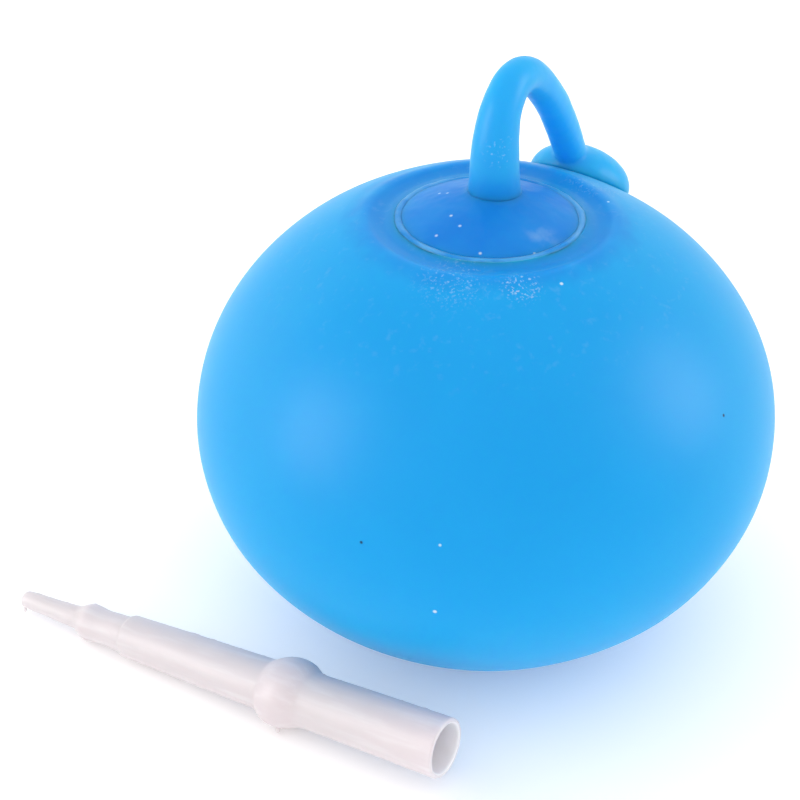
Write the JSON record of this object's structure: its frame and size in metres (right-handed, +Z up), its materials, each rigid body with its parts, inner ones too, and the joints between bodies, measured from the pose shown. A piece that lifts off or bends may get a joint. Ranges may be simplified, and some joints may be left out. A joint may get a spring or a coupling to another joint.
{
  "type": "inflatable squeeze ball with nozzle",
  "caption": "Soft hollow squeeze ball with a looped tail whose stopper plugs the filling port on its shoulder, and a loose tapered nozzle for blowing it up.",
  "frame": {"origin": "middle of the ball's flat foot, on the floor", "axes": "+Z up through the crown; the tail and the filling port lie in the XZ plane with the port on the +X side; the loose nozzle lies along Y on the -X side"},
  "size_m": [0.085, 0.0929, 0.0798],
  "materials": {
    "jelly_shell": "soft translucent azure elastomer, satin, dusty near the crown",
    "jelly_disc": "darker azure elastomer, satin",
    "bond_bead": "pale blue bead, satin",
    "jelly_tail": "translucent azure elastomer, satin",
    "nozzle_plastic": "milky translucent pinkish polyethylene, soft gloss"
  },
  "bodies": {
    "ball": {"ball_shell": "jelly_shell"},
    "crown": {"crown_disc": "jelly_disc", "crown_bond_ring": "bond_bead", "port_seat": "jelly_disc", "valve_sleeve": "bond_bead", "tail_leg": "jelly_tail", "tail_bend": "jelly_tail"},
    "tail": {"tail_loop": "jelly_tail", "stopper": "jelly_tail"},
    "nozzle": {"nozzle_barrel": "nozzle_plastic", "nozzle_tip": "nozzle_plastic"}
  },
  "joints": [
    {"name": "crown_press", "type": "slide", "parent": "ball", "child": "crown", "axis": [0, 0, -1], "range_m": [0, 0.012], "stiffness_N_per_m": 200, "springref_m": -0.001, "deforming": ["ball_shell"]},
    {"name": "tail_swing", "type": "hinge", "parent": "crown", "child": "tail", "pos_m": [0.0024, 0, 0.0744], "axis": [0, -1, 0], "range_deg": [0, 65], "deforming": ["tail_bend"]},
    {"name": "nozzle_lift", "type": "slide", "parent": "ball", "child": "nozzle", "axis": [-0.6, 0, 0.8], "range_m": [0, 0.08]}
  ]
}
